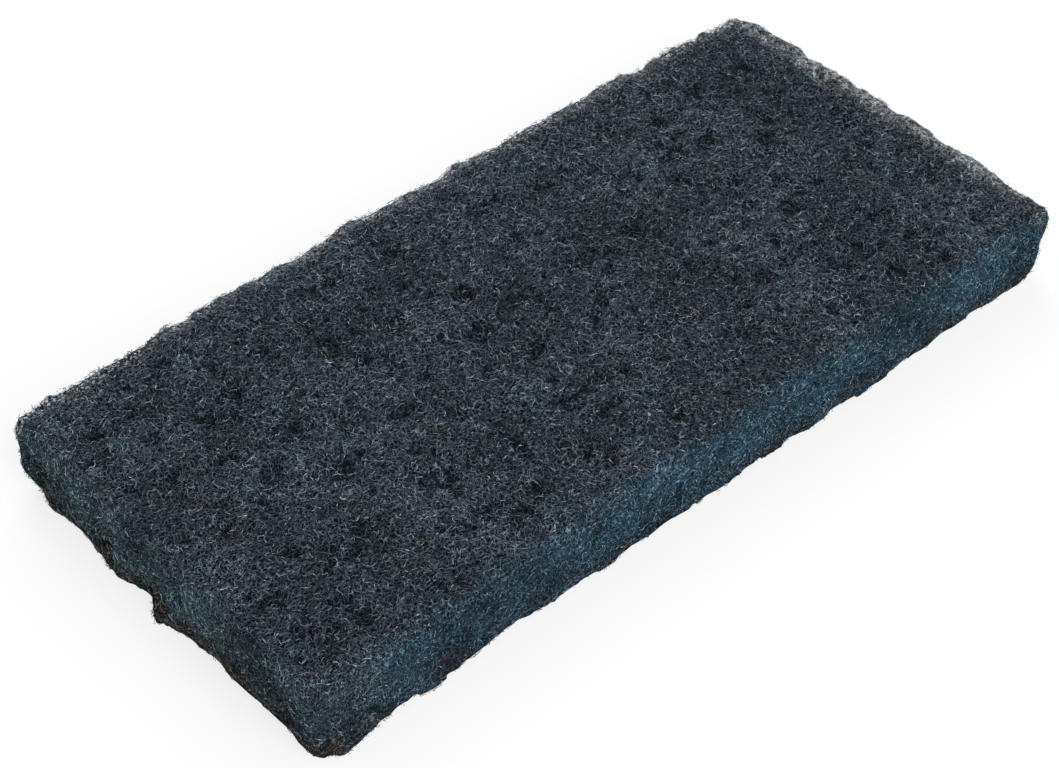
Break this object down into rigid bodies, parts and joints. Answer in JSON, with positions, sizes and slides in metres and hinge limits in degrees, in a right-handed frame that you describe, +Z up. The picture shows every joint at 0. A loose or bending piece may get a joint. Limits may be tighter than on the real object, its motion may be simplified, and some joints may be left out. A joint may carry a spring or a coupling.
{
  "type": "scrub pad",
  "caption": "Rectangular hand scrub pad of crimped, bonded fibre web: a thick, open, matted slab with uneven cut sides and a flat underside.",
  "frame": {"origin": "under the middle of the pad: the centre of its box in plan, on the surface that it lies on", "axes": "+X along the pad's length, +Y across it, +Z up through its thickness"},
  "size_m": [0.26, 0.1232, 0.025],
  "materials": {
    "fibre_web": "dull crimped fibre web, dark slate on the matted faces and deep blue on the cut sides, with pale worn fibres at the edges"
  },
  "bodies": {
    "root": {"scrub_pad": "fibre_web"}
  },
  "joints": []
}
